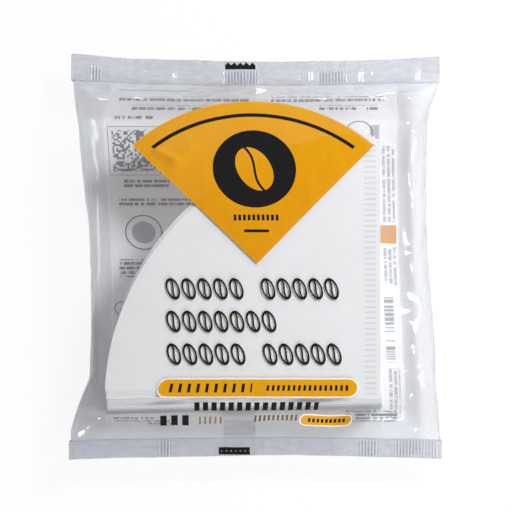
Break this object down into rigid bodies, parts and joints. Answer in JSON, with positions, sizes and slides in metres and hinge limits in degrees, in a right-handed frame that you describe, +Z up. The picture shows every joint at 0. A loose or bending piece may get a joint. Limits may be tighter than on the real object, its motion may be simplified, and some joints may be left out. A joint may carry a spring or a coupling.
{
  "type": "pack of paper coffee filters",
  "caption": "Sealed clear film pillow pack with crimped ends and a back fin, holding a stack of folded cone paper coffee filters, lying on its back.",
  "frame": {"origin": "centre of the pack's footprint, on the surface that its back fin rests on", "axes": "+X to the right across the pack with its front up, +Y from the bottom seal to the top seal, +Z up, out of the printed front panel"},
  "size_m": [0.176, 0.198, 0.0255],
  "materials": {
    "clear_film": "clear polypropylene film, glossy, printed in black and orange-yellow on its front panel",
    "filter_paper": "white creped filter paper, matt"
  },
  "bodies": {
    "root": {"film_bag": "clear_film", "front_filter": "filter_paper", "loose_filter_1": "filter_paper", "loose_filter_2": "filter_paper", "filter_stack": "filter_paper"}
  },
  "joints": []
}
